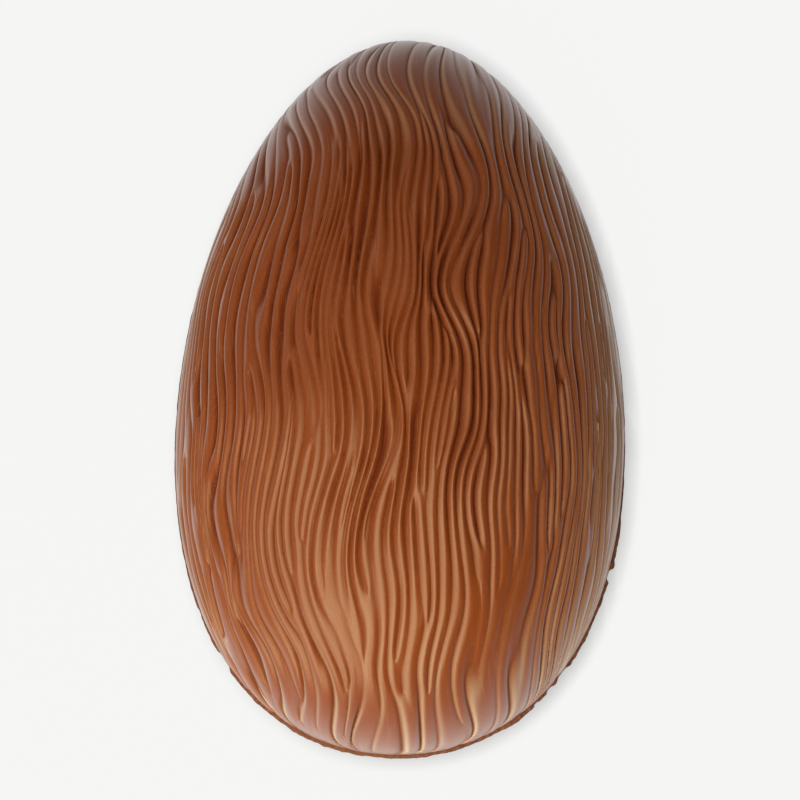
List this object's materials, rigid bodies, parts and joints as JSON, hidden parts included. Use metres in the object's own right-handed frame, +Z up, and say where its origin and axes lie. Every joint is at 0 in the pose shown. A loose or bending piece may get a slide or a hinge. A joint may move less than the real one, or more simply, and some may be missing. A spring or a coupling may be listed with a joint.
{
  "type": "chocolate egg half shell",
  "caption": "Hollow moulded half of a chocolate egg with wavy lengthwise ridges, lying dome up on its flat cut rim with a thin rough edge of flash.",
  "frame": {"origin": "centre of the egg's outline, on the plane of the cut rim it rests on", "axes": "+Z up through the dome, +Y along the egg's length towards its narrow end, +X across its width"},
  "size_m": [0.1254, 0.1998, 0.062],
  "materials": {
    "milk_chocolate": "satin milk chocolate"
  },
  "bodies": {
    "root": {"half_egg_shell": "milk_chocolate"}
  },
  "joints": []
}
